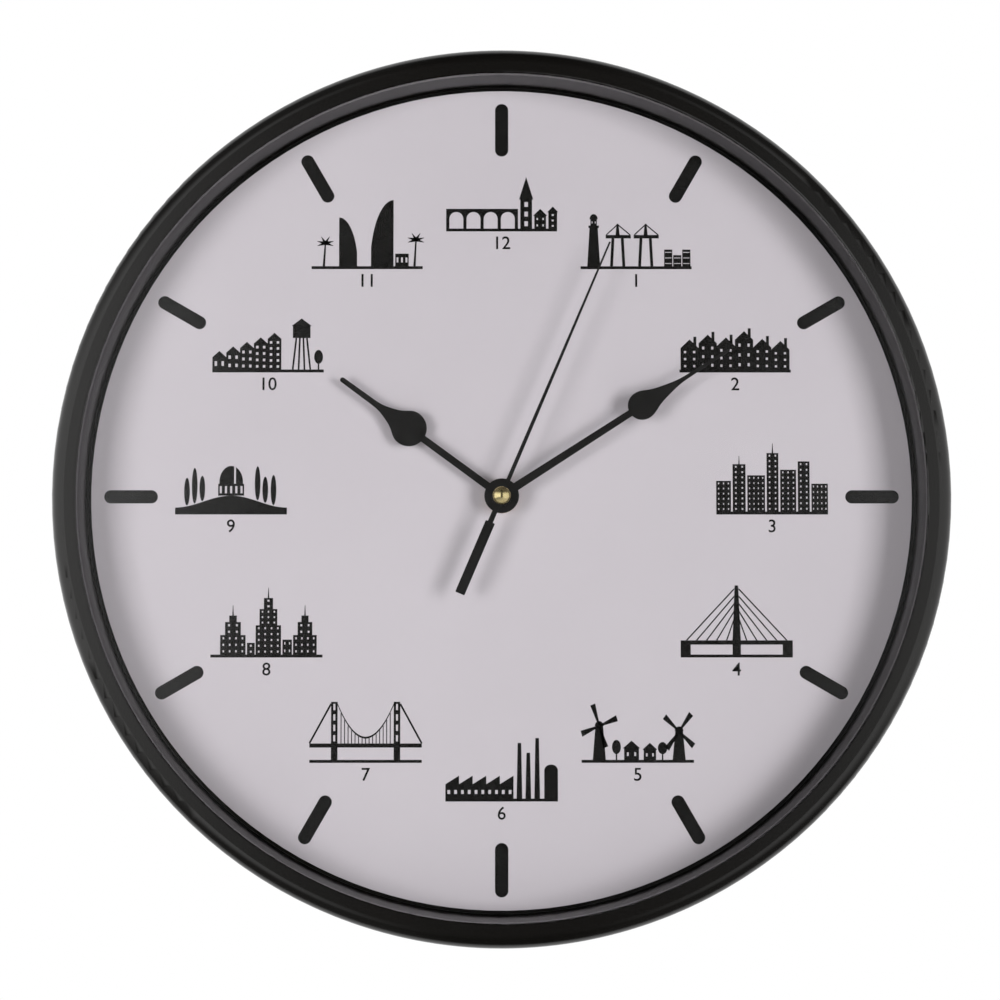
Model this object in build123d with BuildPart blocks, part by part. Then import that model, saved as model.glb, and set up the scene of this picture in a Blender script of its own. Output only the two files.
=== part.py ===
from build123d import *
import os
from math import atan2, cos, hypot, pi, radians, sin

os.makedirs("parts", exist_ok=True)

# Round wall clock with a quartz movement. The dial faces -Y and 12 o'clock is +Z. The hands turn about
# the Y axis, and the wall is the plane Y = 0. Every height is a distance in front of the wall.

# Frame ring
rim_radius = 150.0
skirt_draft = 1.4
skirt_wall = 1.8
rim_wall = 4.8
rim_round = 4.8
lip_overlap = 3.5
lip_thickness = 2.9
lip_round = 0.6

# Glass
glass_thickness = 2.0
glass_clearance = 0.4
glass_chamfer = 0.3

# Inner case
seat_width = 2.8
wall_draft = 1.25
case_wall = 1.4
seat_thickness = 2.0
floor_thickness = 2.0
dial_to_glass = 13.8
rib_count = 12
rib_thickness = 1.6
rib_depth = 5.0
frame_wall = 1.8
frame_depth = 8.0
frame_clearance = 0.3

# Six screws through lugs on the inner case into bosses on the frame ring
boss_count = 6
boss_start = 30.0
boss_radius = 1.8
boss_clearance = 0.2
boss_web = 1.6
lug_thickness = 2.0
screw_radius = 1.0
screw_length = 11.0
screw_head_radius = 1.75
screw_head_height = 1.6
screw_slot_width = 0.6
screw_slot_depth = 0.8
thread_gap = 0.02
hole_gap = 0.15

# Keyhole hanger
hanger_gap = 1.0
hanger_width = 26.0
hanger_wall = 2.0
hanger_plate = 2.4
hanger_margin = 9.0
hanger_inset = 21.2
keyhole_radius = 4.8
keyhole_slot = 4.8
keyhole_travel = 9.0

# Dial
dial_thickness = 0.8
dial_margin = 1.2

# Movement case
movement_gap = 3.0
movement_wall = 1.2
movement_corner = 2.5
bearing_depth = 0.9
running_gap = 0.05
press_gap = 0.01
end_shake = 0.3

# Cell and contacts
cell_radius = 7.25
cell_length = 49.2
nub_radius = 2.75
nub_length = 1.3
cell_clearance = 0.35
cell_seat_gap = 0.15
contact_thickness = 0.3
contact_gap = 0.05
contact_width = 10.0
contact_depth = 9.0
contact_leg = 4.0
leaf_reach = 4.0
leaf_room = 2.4

# Centre fixing
rubber_thickness = 1.0
rubber_radius = 9.0
washer_thickness = 0.5
washer_radius = 5.6
nut_thickness = 1.8
nut_flats = 10.0
bush_wall = 0.89
bush_flange = 0.9
bush_flange_radius = 5.2
bush_past_nut = 0.5
bush_clearance = 0.2

# Tooth counts
rotor_pinion_teeth = 8
intermediate_wheel_teeth = 40
intermediate_pinion_teeth = 8
seconds_wheel_teeth = 48
seconds_pinion_teeth = 11
third_wheel_teeth = 66
third_pinion_teeth = 7
centre_wheel_teeth = 70
cannon_pinion_teeth = 8
reversing_wheel_teeth = 32
reversing_pinion_teeth = 10
hour_wheel_teeth = 30
rotor_module = 0.30

# Tooth forms: share of the pitch, addendum and dedendum in modules, tip and root as shares of the thickness
wheel_form = (0.46, 1.00, 1.25, 0.40, 1.20)
pinion_form = (0.44, 0.75, 1.35, 0.40, 0.90)

# Wheel train, from the rear plate forwards
wheel_room = 9.5
wheel_clearance = 0.9
arbor_gap = 0.4
arbor_radius = 0.5
pivot_radius = 0.4
third_heading = 75.0
intermediate_heading = 5.0
rotor_heading = 60.0
reversing_heading = 180.0
rear_room = 0.8
wheel_thickness = 1.0
thin_wheel_thickness = 0.8
hour_wheel_thickness = 1.2
level_gap = 0.6
pinion_overlap = 0.4

# Centre tubes
seconds_arbor_radius = 0.5
minute_tube_radius = 1.55
hour_tube_radius = 2.55
centre_hub_radius = 2.6

# Step motor
magnet_radius = 2.6
magnet_length = 2.0
rotor_core_radius = 0.8
rotor_air_gap = 0.5
stator_neck = 1.1
stator_thickness = 1.0
core_width = 3.0
core_span = 22.0
core_offset = 0.9
bobbin_radius = 3.1
bobbin_flange = 0.8
bobbin_barrel_radius = 2.0
winding_radius = 2.8
coil_margin = 0.5
coil_clearance = 0.85
motor_clearance = 1.0
link_clearance = 1.6
motor_screw_radius = 0.7
motor_screw_head_radius = 1.4
motor_screw_head_height = 0.9
motor_post_radius = 1.8
motor_screw_reach = 2.0

# Circuit board
board_thickness = 1.0
board_clearance = 2.15
board_margin = 0.6
board_post_radius = 1.5
board_pin_radius = 0.7
board_post_inset = 3.0
chip_radius = 3.5
chip_height = 1.2
crystal_radius = 1.0
crystal_length = 6.0
crystal_offset = 10.0

# Setting knob
knob_radius = 5.0
knob_gap = 0.3
knob_thickness = 1.7
knob_shaft_radius = 1.2
knob_pivot_radius = 0.6
knob_notches = 20
knob_notch_radius = 0.4

# Hands, with the angles clockwise from 12 o'clock
hour_angle = 306.2
minute_angle = 57.25
second_angle = 23.1
hand_thickness = 0.5
second_hand_thickness = 0.4
hour_lift = 3.8
minute_lift = 6.7
second_lift = 9.5
tube_past_hand = 0.6
hour_length = 67.7
hour_stem = (2.55, 2.40)
hour_tip_width = 1.7
hour_bulb_centre = 39.0
hour_bulb_radius = 6.1
hour_taper = ((43.8, 3.86), (47.9, 2.04), (54.0, 1.0))
hour_hub_radius = 5.2
minute_length = 91.7
minute_stem = (2.9, 2.3)
minute_tip_width = 1.0
minute_bulb_centre = 56.4
minute_bulb_radius = 4.85
minute_taper = ((61.1, 3.36), (66.5, 1.78), (75.0, 0.67))
minute_hub_radius = 5.85
minute_collar_radius = 2.6
minute_collar_length = 0.8
second_length = 93.2
second_blade = (1.44, 0.6)
second_neck_width = 1.8
second_neck_length = 9.7
second_weight_width = 3.33
second_weight_end = 35.8
second_weight_round = 0.3
second_hub_radius = 3.6
collet_wall = 0.65
collet_flange = 0.7
collet_length = 1.5
cap_radius = 3.0
cap_edge = 0.15
cap_height = 1.6
cap_tube_radius = 1.0
cap_tube_length = 1.3

# Heights of the wheel train
movement_rear = movement_gap
plate_front = movement_rear + movement_wall
seconds_rear = plate_front + rear_room
seconds_front = seconds_rear + wheel_thickness
stator_rear = seconds_front + wheel_thickness
core_rear = stator_rear + stator_thickness
core_front = core_rear + stator_thickness
third_rear = core_rear + level_gap
third_front = third_rear + thin_wheel_thickness
intermediate_rear = third_front + level_gap
intermediate_front = intermediate_rear + thin_wheel_thickness
centre_rear = intermediate_front + thin_wheel_thickness
centre_front = centre_rear + thin_wheel_thickness
reversing_rear = centre_front + level_gap
reversing_front = reversing_rear + wheel_thickness
hour_rear = reversing_front + hour_wheel_thickness
hour_front = hour_rear + hour_wheel_thickness
bush_rear = hour_front + end_shake + running_gap
front_plate_rear = bush_rear + bush_flange
movement_front = front_plate_rear + movement_wall
case_split = reversing_front

# Heights of the case, the dial and the glass
floor_rear = movement_front + rubber_thickness
floor_front = floor_rear + floor_thickness
dial_face = floor_front + dial_thickness
glass_rear = dial_face + dial_to_glass
glass_front = glass_rear + glass_thickness
rim_front = glass_front + lip_thickness
seat_rear = glass_rear - seat_thickness
washer_front = dial_face + washer_thickness
nut_front = washer_front + nut_thickness
bush_front = nut_front + bush_past_nut
hour_hand_rear = dial_face + hour_lift
hour_hand_front = hour_hand_rear + hand_thickness
minute_hand_rear = dial_face + minute_lift
minute_hand_front = minute_hand_rear + hand_thickness
second_hand_rear = dial_face + second_lift
second_hand_front = second_hand_rear + second_hand_thickness

# Radii of the case
skirt_slope = skirt_draft / (rim_front - rim_round)
pocket_radius = rim_radius - rim_wall
glass_radius = pocket_radius - glass_clearance
opening_radius = glass_radius - lip_overlap
wall_top_radius = glass_radius - seat_width
wall_foot_radius = wall_top_radius - wall_draft
dial_radius = wall_foot_radius - dial_margin
wall_outer_radius = wall_top_radius + case_wall
boss_circle = wall_outer_radius + boss_clearance + boss_radius
boss_front = seat_rear - 2 * boss_clearance
bush_bore = hour_tube_radius + running_gap
bush_radius = bush_bore + bush_wall
bush_hole = bush_radius + bush_clearance

# Distances and modules of the wheel train
third_distance = wheel_room + arbor_gap + arbor_radius
reversing_distance = third_distance + knob_shaft_radius
seconds_module = 2 * wheel_room / (seconds_wheel_teeth + 2 * wheel_form[1])
intermediate_distance = seconds_module * (seconds_wheel_teeth + intermediate_pinion_teeth) / 2
rotor_distance = rotor_module * (rotor_pinion_teeth + intermediate_wheel_teeth) / 2
third_module = 2 * third_distance / (seconds_pinion_teeth + third_wheel_teeth)
third_tip_radius = third_module * (third_wheel_teeth / 2 + wheel_form[1])
centre_module = 2 * third_distance / (third_pinion_teeth + centre_wheel_teeth)
cannon_module = 2 * reversing_distance / (cannon_pinion_teeth + reversing_wheel_teeth)
hour_module = 2 * reversing_distance / (reversing_pinion_teeth + hour_wheel_teeth)


def beside(point, heading, distance):
    """The point at a distance from another, along a heading in degrees from +X towards +Z."""
    return (point[0] + distance * cos(radians(heading)), point[1] + distance * sin(radians(heading)))


# Axes of the arbors, as seen from the front
centre_axis = (0.0, 0.0)
third_axis = beside(centre_axis, third_heading, third_distance)
intermediate_axis = beside(centre_axis, intermediate_heading, intermediate_distance)
rotor_axis = beside(intermediate_axis, rotor_heading, rotor_distance)
reversing_axis = beside(centre_axis, reversing_heading, reversing_distance)

# Motor above the third wheel
coil_z = third_axis[1] + third_tip_radius + coil_clearance + bobbin_radius
core_left = rotor_axis[0] - core_offset - core_span / 2
core_right = core_left + core_span
motor_posts = [(core_left, coil_z), (core_right, coil_z)]

# The inside is as wide as the cell with its contacts or as the motor needs, and as high as the cell
# under the wheels or the coil above them needs, with the hands at its middle.
bay_length = cell_length + nub_length + 2 * (contact_gap + contact_thickness) + leaf_room
bay_height = 2 * (cell_radius + cell_clearance)
half_width = max(bay_length / 2, core_right + core_width / 2 + motor_clearance)
half_height = max(
    wheel_room + wheel_clearance + movement_wall + bay_height,
    coil_z + bobbin_radius + coil_margin,
)
movement_width = 2 * (half_width + movement_wall)
movement_height = 2 * (half_height + movement_wall)

# Cell, contacts and board
cell_z = bay_height / 2 - half_height
partition_z = bay_height - half_height
cell_height = front_plate_rear - cell_seat_gap - cell_radius
contact_face = half_width - contact_thickness
board_half = contact_face - contact_gap
board_bottom = third_axis[1] + board_clearance
board_top = half_height - board_margin
board_middle = (board_bottom + board_top) / 2
chip_axis = (-crystal_offset, board_middle)
board_posts = [
    (side * (board_half - board_post_inset), z)
    for side in (-1, 1)
    for z in (board_bottom + board_post_inset, board_top - board_post_inset)
]


def section_at(point):
    """The profile plane of a turned piece: radius along its x, height along its y."""
    return Plane(origin=(point[0], 0, point[1]), x_dir=(1, 0, 0), z_dir=(0, 0, -1))


def level(height):
    """A plane parallel to the wall, drawn as seen from the front."""
    return Plane.XZ.offset(height)


def on_arbor(point, height):
    """The same plane with its origin on an arbor."""
    return Plane(origin=(point[0], -height, point[1]), x_dir=(1, 0, 0), z_dir=(0, -1, 0))


def along_hand(angle, height):
    """The same plane turned so that its y runs along a hand."""
    return Plane(
        origin=(0, -height, 0),
        x_dir=(cos(radians(angle)), 0, -sin(radians(angle))),
        z_dir=(0, -1, 0),
    )


def skirt_inner_radius(height):
    """The inside of the frame ring's sloping skirt."""
    return rim_radius - skirt_draft + skirt_slope * height - skirt_wall


def turned(point, *steps, mode=Mode.ADD):
    """Round steps on one axis, each given by its radius, rear height and front height."""
    for radius, rear, front in steps:
        with BuildSketch(on_arbor(point, rear)) as disc:
            Circle(radius)
        extrude(disc.sketch, amount=front - rear, mode=mode)


def toothed(point, rear, front, teeth, module, form, phase=0.0):
    """A toothed disc on an arbor, with the middle of one tooth at the phase angle."""
    thick, addendum, dedendum, tip, root = form
    pitch_radius = module * teeth / 2
    half_tooth = pi * thick / teeth
    corners = [
        (pitch_radius - dedendum * module, -root),
        (pitch_radius, -1),
        (pitch_radius + addendum * module, -tip),
        (pitch_radius + addendum * module, tip),
        (pitch_radius, 1),
        (pitch_radius - dedendum * module, root),
    ]
    points = []
    for tooth in range(teeth):
        middle = phase + 2 * pi * tooth / teeth
        for radius, side in corners:
            angle = middle + side * half_tooth
            points.append((radius * cos(angle), radius * sin(angle)))
    with BuildSketch(on_arbor(point, rear)) as disc:
        with BuildLine():
            Polyline(*points, close=True)
        make_face()
    extrude(disc.sketch, amount=front - rear)


def meshed_phase(driver_axis, driver_teeth, driven_axis, driven_teeth):
    """The phase of a gear whose gap meets the tooth of a driver that has phase 0."""
    heading = atan2(driven_axis[1] - driver_axis[1], driven_axis[0] - driver_axis[0])
    return heading + pi + pi / driven_teeth + heading * driver_teeth / driven_teeth


def leaf_hand(plane, length, stem, tip_width, bulb_centre, bulb_radius, taper, hub_radius):
    """The outline of a hand with a straight stem, a swollen middle and a slender tip."""
    stem_end = stem[1] / 2
    tip_radius = tip_width / 2
    bulb_start = bulb_centre - (bulb_radius**2 - stem_end**2) ** 0.5
    bulb_turn = bulb_radius * sin(pi / 4)
    with BuildSketch(plane) as outline:
        with BuildLine():
            Line((0, 0), (stem[0] / 2, 0))
            Line((stem[0] / 2, 0), (stem_end, bulb_start))
            ThreePointArc(
                (stem_end, bulb_start),
                (bulb_turn, bulb_centre - bulb_turn),
                (bulb_radius, bulb_centre),
            )
            Spline(
                (bulb_radius, bulb_centre),
                *[(half_width, reach) for reach, half_width in taper],
                tangents=((0, 1), (0, 1)),
            )
            Line((taper[-1][1], taper[-1][0]), (tip_radius, length - tip_radius))
            ThreePointArc(
                (tip_radius, length - tip_radius),
                (tip_radius * cos(pi / 4), length - tip_radius * (1 - sin(pi / 4))),
                (0, length),
            )
            Line((0, length), (0, 0))
        make_face()
        mirror(about=Plane.YZ)
        Circle(hub_radius)
    return outline.sketch


# Frame ring: sloping skirt, rounded rim, lip over the glass and six screw bosses
with BuildPart() as bezel_ring:
    skirt_inner_top = glass_rear - (rim_radius - skirt_wall - pocket_radius)
    with BuildSketch(section_at(centre_axis)):
        with BuildLine():
            Polyline(
                (skirt_inner_radius(0), 0),
                (skirt_inner_radius(0) + skirt_wall, 0),
                (rim_radius, rim_front - rim_round),
            )
            CenterArc((rim_radius - rim_round, rim_front - rim_round), rim_round, 0, 90)
            Line((rim_radius - rim_round, rim_front), (opening_radius + lip_round, rim_front))
            CenterArc((opening_radius + lip_round, rim_front - lip_round), lip_round, 90, 90)
            Polyline(
                (opening_radius, rim_front - lip_round),
                (opening_radius, glass_front),
                (pocket_radius, glass_front),
                (pocket_radius, glass_rear),
                (skirt_inner_radius(skirt_inner_top), skirt_inner_top),
                (skirt_inner_radius(0), 0),
            )
        make_face()
    revolve(axis=Axis.Y)
    web_end = skirt_inner_radius(boss_front) + skirt_wall / 3
    with BuildSketch(level(floor_rear)):
        with PolarLocations(boss_circle, boss_count, boss_start):
            Circle(boss_radius)
        with PolarLocations((boss_circle + web_end) / 2, boss_count, boss_start):
            Rectangle(web_end - boss_circle, boss_web)
    extrude(amount=boss_front - floor_rear)
    with BuildSketch(level(floor_rear)):
        with PolarLocations(boss_circle, boss_count, boss_start):
            Circle(screw_radius + thread_gap)
    extrude(amount=screw_length - lug_thickness + thread_gap, mode=Mode.SUBTRACT)

# Flat glass, clamped between the lip and the seat of the inner case
with BuildPart() as lens_glass:
    with BuildSketch(level(glass_rear)):
        Circle(glass_radius)
    extrude(amount=glass_thickness)
    chamfer(lens_glass.edges(), glass_chamfer)

# Inner case: floor, wall and the seat of the glass, with ribs, lugs, movement frame and hanger behind
with BuildPart() as back_case:
    foot_inner = wall_outer_radius - case_wall
    with BuildSketch(section_at(centre_axis)):
        with BuildLine():
            Polyline(
                (bush_hole, floor_rear),
                (foot_inner, floor_rear),
                (foot_inner, floor_rear - rib_depth),
                (wall_outer_radius, floor_rear - rib_depth),
                (wall_outer_radius, seat_rear),
                (glass_radius, seat_rear),
                (glass_radius, glass_rear),
                (wall_top_radius, glass_rear),
                (wall_foot_radius, floor_front),
                (bush_hole, floor_front),
                close=True,
            )
        make_face()
    revolve(axis=Axis.Y)
    frame_inside = (movement_width + 2 * frame_clearance, movement_height + 2 * frame_clearance)
    frame_outside = (frame_inside[0] + 2 * frame_wall, frame_inside[1] + 2 * frame_wall)
    rib_inner = hypot(*frame_outside) / 2
    with BuildSketch(level(floor_rear - rib_depth)):
        with PolarLocations((rib_inner + foot_inner) / 2, rib_count, 180 / rib_count):
            Rectangle(foot_inner - rib_inner + case_wall, rib_thickness)
    extrude(amount=rib_depth)
    with BuildSketch(level(floor_rear - frame_depth)):
        Rectangle(*frame_outside)
        Rectangle(*frame_inside, mode=Mode.SUBTRACT)
    extrude(amount=frame_depth)
    with BuildSketch(level(floor_rear - lug_thickness)):
        with PolarLocations(boss_circle, boss_count, boss_start):
            Circle(boss_radius)
        with PolarLocations((foot_inner + boss_circle) / 2, boss_count, boss_start):
            Rectangle(boss_circle - foot_inner, 2 * boss_radius)
    extrude(amount=lug_thickness)
    with BuildSketch(level(floor_rear - lug_thickness)):
        with PolarLocations(boss_circle, boss_count, boss_start):
            Circle(screw_radius + hole_gap)
    extrude(amount=lug_thickness, mode=Mode.SUBTRACT)
    hanger_height = keyhole_travel + 2 * (keyhole_radius + hanger_margin)
    hanger_z = foot_inner - hanger_inset - hanger_height / 2
    keyhole_height = hanger_z - keyhole_travel / 2
    with BuildSketch(level(hanger_gap)):
        with Locations((0, hanger_z)):
            Rectangle(hanger_width, hanger_height)
    extrude(amount=floor_rear - hanger_gap)
    with BuildSketch(level(hanger_gap + hanger_plate)):
        with Locations((0, hanger_z - hanger_wall)):
            Rectangle(hanger_width - 2 * hanger_wall, hanger_height)
    extrude(amount=floor_rear - hanger_gap - hanger_plate, mode=Mode.SUBTRACT)
    with BuildSketch(level(hanger_gap)):
        with Locations((0, keyhole_height)):
            Circle(keyhole_radius)
        with Locations((0, hanger_z)):
            SlotCenterToCenter(keyhole_travel, keyhole_slot, rotation=90)
    extrude(amount=hanger_plate, mode=Mode.SUBTRACT)

# Screws that pull the inner case to the frame ring
with BuildPart() as case_screws:
    head_rear = floor_rear - lug_thickness - screw_head_height
    with BuildSketch(level(head_rear)):
        with PolarLocations(boss_circle, boss_count, boss_start):
            Circle(screw_head_radius)
    extrude(amount=screw_head_height)
    with BuildSketch(level(floor_rear - lug_thickness)):
        with PolarLocations(boss_circle, boss_count, boss_start):
            Circle(screw_radius)
    extrude(amount=screw_length)
    with BuildSketch(level(head_rear)):
        with PolarLocations(boss_circle, boss_count, boss_start):
            Rectangle(2 * screw_radius, screw_slot_width)
            Rectangle(screw_slot_width, 2 * screw_radius)
    extrude(amount=screw_slot_depth, mode=Mode.SUBTRACT)

# Dial plate on the case floor, with a ring of the floor showing round it
with BuildPart() as dial_plate:
    with BuildSketch(level(floor_front)):
        Circle(dial_radius)
        Circle(bush_hole, mode=Mode.SUBTRACT)
    extrude(amount=dial_thickness)

# Rear half of the movement case, with the open bay for the cell and the bearings of the train
with BuildPart() as movement_rear_case:
    with BuildSketch(level(movement_rear)):
        RectangleRounded(movement_width, movement_height, movement_corner)
    extrude(amount=case_split - movement_rear)
    with BuildSketch(level(plate_front)):
        RectangleRounded(2 * half_width, 2 * half_height, movement_corner - movement_wall)
    extrude(amount=case_split - plate_front, mode=Mode.SUBTRACT)
    with BuildSketch(level(movement_rear)):
        with Locations((0, cell_z)):
            RectangleRounded(2 * half_width, bay_height, movement_corner - movement_wall)
    extrude(amount=movement_wall, mode=Mode.SUBTRACT)
    with BuildSketch(level(movement_rear)):
        with Locations((0, partition_z + movement_wall / 2)):
            Rectangle(2 * (contact_face - contact_thickness), movement_wall)
    extrude(amount=front_plate_rear - movement_rear)
    for post in motor_posts:
        turned(post, (motor_post_radius, plate_front, stator_rear))
        turned(
            post,
            (motor_screw_radius + thread_gap, stator_rear - motor_screw_reach, stator_rear),
            mode=Mode.SUBTRACT,
        )
    bearing = (pivot_radius + running_gap, plate_front - bearing_depth, plate_front)
    for axis in (third_axis, intermediate_axis, rotor_axis):
        turned(axis, bearing, mode=Mode.SUBTRACT)
    turned(
        centre_axis,
        (seconds_arbor_radius + running_gap, plate_front - bearing_depth, plate_front),
        mode=Mode.SUBTRACT,
    )
    turned(
        reversing_axis,
        (knob_shaft_radius + running_gap, movement_rear, plate_front),
        mode=Mode.SUBTRACT,
    )

# Front half of the movement case, with the bush hole, the bearings and the posts of the board
with BuildPart() as movement_front_case:
    with BuildSketch(level(case_split)):
        RectangleRounded(movement_width, movement_height, movement_corner)
    extrude(amount=movement_front - case_split)
    with BuildSketch(level(case_split)):
        RectangleRounded(2 * half_width, 2 * half_height, movement_corner - movement_wall)
    extrude(amount=front_plate_rear - case_split, mode=Mode.SUBTRACT)
    for post in board_posts:
        turned(
            post,
            (board_post_radius, case_split, front_plate_rear),
            (board_pin_radius, case_split - board_thickness - end_shake, case_split),
        )
    bearing = (pivot_radius + running_gap, front_plate_rear, front_plate_rear + bearing_depth)
    for axis in (third_axis, intermediate_axis, rotor_axis):
        turned(axis, bearing, mode=Mode.SUBTRACT)
    turned(
        reversing_axis,
        (knob_pivot_radius + running_gap, front_plate_rear, front_plate_rear + bearing_depth),
        mode=Mode.SUBTRACT,
    )
    turned(centre_axis, (bush_radius + press_gap, front_plate_rear, movement_front), mode=Mode.SUBTRACT)

# Brass bush of the centre fixing
with BuildPart() as threaded_bush:
    turned(
        centre_axis,
        (bush_flange_radius, bush_rear, front_plate_rear),
        (bush_radius, front_plate_rear, bush_front),
    )
    turned(centre_axis, (bush_bore, bush_rear, bush_front), mode=Mode.SUBTRACT)

# Rubber washer between the movement and the case floor
with BuildPart() as rubber_washer:
    turned(centre_axis, (rubber_radius, movement_front, floor_rear))
    turned(centre_axis, (bush_hole, movement_front, floor_rear), mode=Mode.SUBTRACT)

# Washer on the dial
with BuildPart() as dial_washer:
    turned(centre_axis, (washer_radius, dial_face, washer_front))
    turned(centre_axis, (bush_hole, dial_face, washer_front), mode=Mode.SUBTRACT)

# Hex nut on the bush
with BuildPart() as hex_nut:
    with BuildSketch(level(washer_front)):
        RegularPolygon(nut_flats / 2, 6, major_radius=False)
        Circle(bush_radius + thread_gap, mode=Mode.SUBTRACT)
    extrude(amount=nut_thickness)

# Circuit board, held by the four pins of the front case
with BuildPart() as circuit_board:
    with BuildSketch(level(case_split - board_thickness)):
        with Locations((0, board_middle)):
            Rectangle(2 * board_half, board_top - board_bottom)
        with Locations(*board_posts):
            Circle(board_pin_radius + running_gap, mode=Mode.SUBTRACT)
    extrude(amount=board_thickness)

# Chip under a drop of resin
with BuildPart() as chip_drop:
    drop_radius = (chip_radius**2 + chip_height**2) / (2 * chip_height)
    with BuildSketch(section_at(chip_axis)):
        with BuildLine():
            Line((0, case_split), (chip_radius, case_split))
            RadiusArc((chip_radius, case_split), (0, case_split + chip_height), -drop_radius)
            Line((0, case_split + chip_height), (0, case_split))
        make_face()
    revolve(axis=Axis((chip_axis[0], 0, chip_axis[1]), (0, 1, 0)))

# Quartz crystal in its round can, lying on the board
with BuildPart() as quartz_crystal:
    can_plane = Plane(
        origin=(
            crystal_offset - crystal_length / 2,
            -(case_split + crystal_radius + press_gap),
            board_middle,
        ),
        x_dir=(0, 1, 0),
        z_dir=(1, 0, 0),
    )
    with BuildSketch(can_plane):
        Circle(crystal_radius)
    extrude(amount=crystal_length)

# Stator: two pole arms that meet in thin necks round the rotor
with BuildPart() as stator:
    arm = core_width / 2
    pole = magnet_radius + rotor_air_gap + stator_neck
    link_z = third_axis[1] + link_clearance
    top_z = coil_z + core_width / 2
    rotor_x, rotor_z = rotor_axis
    with BuildSketch(level(stator_rear)):
        with BuildLine():
            Polyline(
                (core_left - arm, top_z),
                (core_left + arm, top_z),
                (core_left + arm, link_z + core_width),
                (rotor_x - pole, rotor_z + pole),
                (rotor_x + pole, rotor_z + pole),
                (core_right - arm, link_z + core_width),
                (core_right - arm, top_z),
                (core_right + arm, top_z),
                (core_right + arm, link_z),
                (rotor_x + pole, rotor_z - pole),
                (rotor_x - pole, rotor_z - pole),
                (rotor_x - pole - arm / 2, rotor_z),
                (core_left + 2 * arm, link_z),
                (core_left - arm, link_z),
                close=True,
            )
        make_face()
        with Locations(rotor_axis):
            Circle(magnet_radius + rotor_air_gap, mode=Mode.SUBTRACT)
        with Locations(*motor_posts):
            Circle(motor_screw_radius + running_gap, mode=Mode.SUBTRACT)
    extrude(amount=stator_thickness)

# Core of the coil, lying on both arms of the stator
with BuildPart() as coil_core:
    with BuildSketch(level(core_rear)):
        with Locations(((core_left + core_right) / 2, coil_z)):
            Rectangle(core_span + core_width, core_width)
        with Locations(*motor_posts):
            Circle(motor_screw_radius + running_gap, mode=Mode.SUBTRACT)
    extrude(amount=stator_thickness)

# Bobbin and winding round the core
bobbin_left = core_left + motor_post_radius + bobbin_flange
bobbin_right = core_right - motor_post_radius - bobbin_flange
coil_height = (core_rear + core_front) / 2


def coil_disc(left, right, radius, mode=Mode.ADD):
    """A round disc on the axis of the coil."""
    with BuildSketch(Plane.YZ.offset(left)) as disc:
        with Locations((-coil_height, coil_z)):
            Circle(radius)
    extrude(disc.sketch, amount=right - left, mode=mode)


with BuildPart() as coil_bobbin:
    coil_disc(bobbin_left, bobbin_left + bobbin_flange, bobbin_radius)
    coil_disc(bobbin_left, bobbin_right, bobbin_barrel_radius)
    coil_disc(bobbin_right - bobbin_flange, bobbin_right, bobbin_radius)
    with BuildSketch(Plane.YZ.offset(bobbin_left)):
        with Locations((-coil_height, coil_z)):
            Rectangle(stator_thickness + 2 * running_gap, core_width + 2 * running_gap)
    extrude(amount=bobbin_right - bobbin_left, mode=Mode.SUBTRACT)

with BuildPart() as coil_winding:
    coil_disc(bobbin_left + bobbin_flange, bobbin_right - bobbin_flange, winding_radius)
    coil_disc(
        bobbin_left + bobbin_flange,
        bobbin_right - bobbin_flange,
        bobbin_barrel_radius + press_gap,
        mode=Mode.SUBTRACT,
    )

# Two screws through the core and the stator into the posts
with BuildPart() as motor_screws:
    for post in motor_posts:
        turned(
            post,
            (motor_screw_radius, stator_rear - motor_screw_reach + thread_gap, core_front),
            (motor_screw_head_radius, core_front, core_front + motor_screw_head_height),
        )

# Contacts: flat strips on the side walls, from the ends of the bay up to the board
board_contact_z = board_bottom + contact_leg
leg_height = case_split - board_thickness / 2


def contact_strip(wall_x):
    """A strip on a side wall: a plate behind the cell's end and a leg up to the board."""
    with BuildSketch(Plane.YZ.offset(wall_x)) as strip:
        with Locations((-cell_height, cell_z)):
            Rectangle(contact_depth, contact_width)
        with Locations((-leg_height, (cell_z + board_contact_z) / 2)):
            Rectangle(contact_leg, board_contact_z - cell_z)
    extrude(strip.sketch, amount=contact_thickness)


with BuildPart() as positive_contact:
    contact_strip(contact_face)

cell_right = contact_face - contact_gap - nub_length
cell_left = cell_right - cell_length
with BuildPart() as negative_contact:
    contact_strip(-half_width)
    leaf_crown = cell_left - contact_gap - contact_thickness / 2
    leaf_foot = -contact_face - contact_thickness / 2
    with BuildSketch(level(cell_height - contact_leg / 2)) as leaf:
        with BuildLine() as bow:
            ThreePointArc(
                (leaf_foot, cell_z - leaf_reach),
                (leaf_crown, cell_z),
                (leaf_foot, cell_z + leaf_reach),
            )
        trace(bow.line, line_width=contact_thickness)
    extrude(leaf.sketch, amount=contact_leg)

# Cell, lying across the bay with its nub on the positive contact
with BuildPart() as battery_cell:
    with BuildSketch(Plane.YZ.offset(cell_left)):
        with Locations((-cell_height, cell_z)):
            Circle(cell_radius)
    extrude(amount=cell_length)
    chamfer(battery_cell.edges(), nub_length / 2)
    with BuildSketch(Plane.YZ.offset(cell_right)):
        with Locations((-cell_height, cell_z)):
            Circle(nub_radius)
    extrude(amount=nub_length)

# Arbor shoulders and pivot ends shared by the wheels of the train
rear_shoulder = plate_front + end_shake
front_shoulder = front_plate_rear - end_shake
pivot_rear = plate_front - bearing_depth + end_shake
pivot_front = front_plate_rear + bearing_depth - end_shake

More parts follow.
